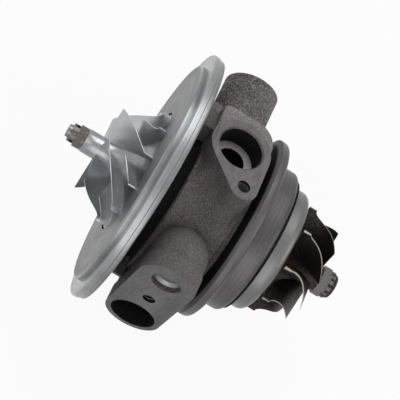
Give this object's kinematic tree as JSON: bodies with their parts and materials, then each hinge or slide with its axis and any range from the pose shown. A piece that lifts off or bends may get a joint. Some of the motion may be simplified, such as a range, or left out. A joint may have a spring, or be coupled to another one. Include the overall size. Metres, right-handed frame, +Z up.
{
  "type": "turbocharger cartridge",
  "caption": "Turbocharger cartridge: bladed compressor and turbine wheels on one shaft that spins in floating bushes inside a cast bearing housing with oil and coolant ports.",
  "frame": {"origin": "on the shaft axis, in the plane of the backplate's seat face, which is the end of the compressor spigot", "axes": "+X along the shaft towards the compressor wheel's nose, +Y out of the drain flange, +Z up, on the side of the coolant inlet"},
  "size_m": [0.1177, 0.104, 0.104],
  "materials": {
    "cast_housing": "rough sand-cast, machined on the flanges and port faces",
    "turned_aluminium": "turned, satin",
    "milled_aluminium": "milled, bright",
    "shield_sheet": "pressed sheet, satin",
    "hot_alloy": "investment cast, dark oxide",
    "shaft_steel": "ground",
    "plain_steel": "plain",
    "nut_steel": "plated, slightly bronze",
    "bearing_brass": "turned",
    "seal_rubber": "moulded"
  },
  "bodies": {
    "housing": {"bearing_housing": "cast_housing", "compressor_backplate": "turned_aluminium", "backplate_seal_ring": "seal_rubber", "backplate_screws": "plain_steel", "heat_shield": "shield_sheet", "core_plug": "plain_steel", "bush_circlips": "plain_steel", "thrust_bearing": "bearing_brass", "thrust_pins": "plain_steel", "oil_deflector": "plain_steel", "compressor_seal_ring": "plain_steel", "turbine_seal_ring": "plain_steel"},
    "rotor": {"rotor_shaft": "shaft_steel", "turbine_wheel": "hot_alloy", "compressor_wheel": "milled_aluminium", "lock_nut": "nut_steel", "thrust_washer": "shaft_steel", "thrust_collar": "shaft_steel", "seal_sleeve": "shaft_steel"},
    "front_bearing": {"front_bush": "bearing_brass"},
    "rear_bearing": {"rear_bush": "bearing_brass"}
  },
  "joints": [
    {"name": "rotor_spin", "type": "hinge", "parent": "housing", "child": "rotor", "pos_m": [0, 0, 0], "axis": [1, 0, 0], "continuous": true},
    {"name": "front_bush_spin", "type": "hinge", "parent": "housing", "child": "front_bearing", "pos_m": [-0.0214, 0, 0], "axis": [1, 0, 0], "continuous": true},
    {"name": "rear_bush_spin", "type": "hinge", "parent": "housing", "child": "rear_bearing", "pos_m": [-0.0479, 0, 0], "axis": [1, 0, 0], "continuous": true}
  ]
}
